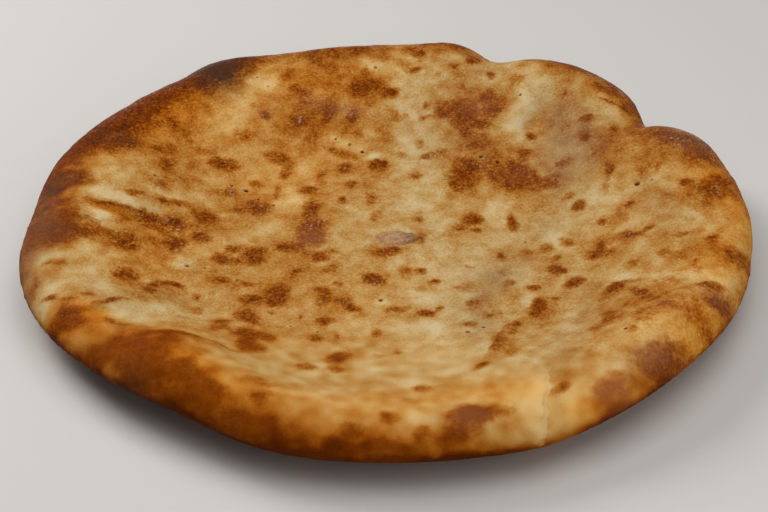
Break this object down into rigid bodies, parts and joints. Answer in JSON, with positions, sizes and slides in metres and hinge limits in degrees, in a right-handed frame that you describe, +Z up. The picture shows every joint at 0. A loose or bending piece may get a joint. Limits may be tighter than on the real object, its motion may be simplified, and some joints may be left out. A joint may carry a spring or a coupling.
{
  "type": "lobiani",
  "caption": "Whole round bean-filled flatbread with a thick puffed rim, radial folds and a browned, blistered crust.",
  "frame": {"origin": "middle of the bread's plan, on the flat spot of the underside that it rests on", "axes": "+Z up, the bread's thin direction; +X to its right-hand side and +Y to its far side as it lies in front of a diner"},
  "size_m": [0.2878, 0.2776, 0.0311],
  "materials": {
    "crust": "baked golden dough with brown toasted spots, satin where it is browned"
  },
  "bodies": {
    "root": {"lobiani": "crust"}
  },
  "joints": []
}
